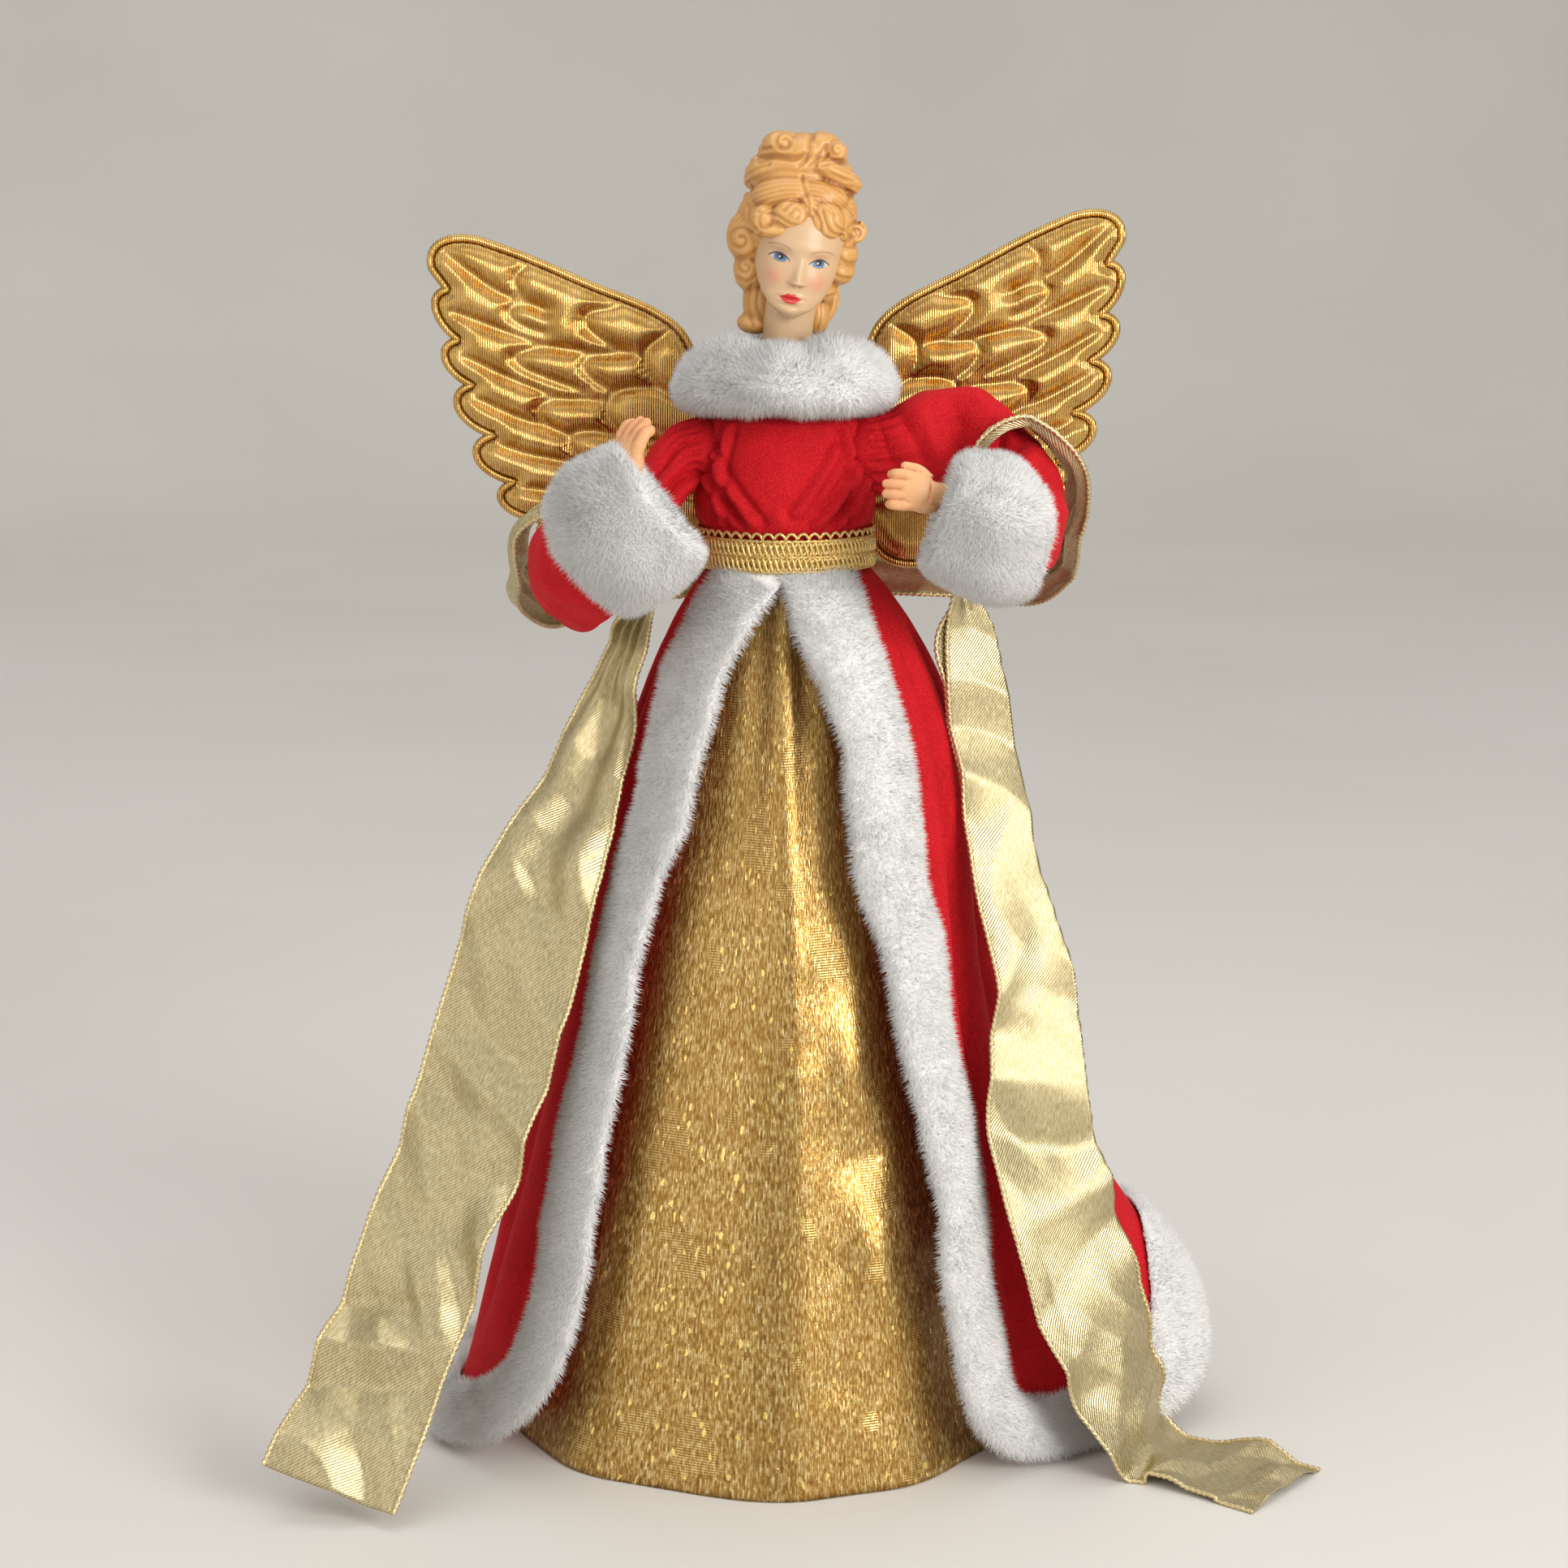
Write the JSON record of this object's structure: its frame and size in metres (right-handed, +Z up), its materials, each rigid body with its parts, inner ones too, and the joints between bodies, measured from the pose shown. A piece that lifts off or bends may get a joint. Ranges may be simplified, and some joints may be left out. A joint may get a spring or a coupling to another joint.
{
  "type": "angel tree topper",
  "caption": "Robed angel figure on a hollow cone that fits over a tree's top shoot, with posable arms, turning head, padded wings and a ribbon sash.",
  "frame": {"origin": "centre of the cone's base rim, on the plane that the topper stands on", "axes": "+Z up along the cone's axis, the figure faces -Y and its own left side is +X"},
  "size_m": [0.3168, 0.1832, 0.402],
  "materials": {
    "velvet": "red plush velvet with a soft sheen",
    "fur": "white faux fur, short dense pile",
    "brocade": "gold brocade with metallic threads",
    "lame": "padded gold lame, glossy and quilted",
    "ribbon": "pale gold wired ribbon with stitched edges",
    "braid": "gold metallic braid and cord",
    "resin": "moulded and painted skin and hair, satin",
    "card": "plain paperboard",
    "foam": "white stuffed form",
    "wood": "plain dowel",
    "wire": "bare craft wire"
  },
  "bodies": {
    "figure": {"cone_core": "card", "torso_form": "foam", "neck_post": "wood", "bodice": "velvet", "waist_belt": "braid", "underskirt": "brocade", "robe": "velvet", "front_trim_right": "fur", "front_trim_left": "fur", "hem_trim": "fur", "collar": "fur", "wing_spine": "velvet", "sash": "ribbon"},
    "head_unit": {"head": "resin"},
    "arm_left_unit": {"sleeve_left": "velvet", "cuff_left": "fur", "arm_wire_left": "wire"},
    "arm_right_unit": {"sleeve_right": "velvet", "cuff_right": "fur", "arm_wire_right": "wire"},
    "hand_left_unit": {"hand_left": "resin"},
    "hand_right_unit": {"hand_right": "resin"},
    "wing_left_unit": {"wing_left": "lame", "wing_backing_left": "lame", "wing_welt_left": "braid"},
    "wing_right_unit": {"wing_right": "lame", "wing_backing_right": "lame", "wing_welt_right": "braid"}
  },
  "joints": [
    {"name": "head_turn", "type": "hinge", "parent": "figure", "child": "head_unit", "pos_m": [0, 0, 0.33], "axis": [0, 0, 1], "range_deg": [-35, 35]},
    {"name": "shoulder_left", "type": "hinge", "parent": "figure", "child": "arm_left_unit", "pos_m": [0.0234, 0, 0.3063], "axis": [-1, 0, 0], "range_deg": [-8, 35], "deforming": ["sash"]},
    {"name": "shoulder_right", "type": "hinge", "parent": "figure", "child": "arm_right_unit", "pos_m": [-0.0234, 0, 0.3063], "axis": [-1, 0, 0], "range_deg": [0, 35], "deforming": ["sash"]},
    {"name": "wrist_left", "type": "hinge", "parent": "arm_left_unit", "child": "hand_left_unit", "pos_m": [0.045, -0.041, 0.2983], "axis": [-0.9913, -0.0506, 0.1214], "range_deg": [-40, 40]},
    {"name": "wrist_right", "type": "hinge", "parent": "arm_right_unit", "child": "hand_right_unit", "pos_m": [-0.0455, -0.056, 0.303], "axis": [0.3605, 0.0501, 0.9314], "range_deg": [-40, 40]},
    {"name": "wing_left_rock", "type": "hinge", "parent": "figure", "child": "wing_left_unit", "pos_m": [0.00905, 0.0323, 0.3001], "axis": [0, 1, 0], "range_deg": [-5, 5]},
    {"name": "wing_right_rock", "type": "hinge", "parent": "figure", "child": "wing_right_unit", "pos_m": [-0.00905, 0.0323, 0.3001], "axis": [0, -1, 0], "range_deg": [-5, 5]}
  ]
}
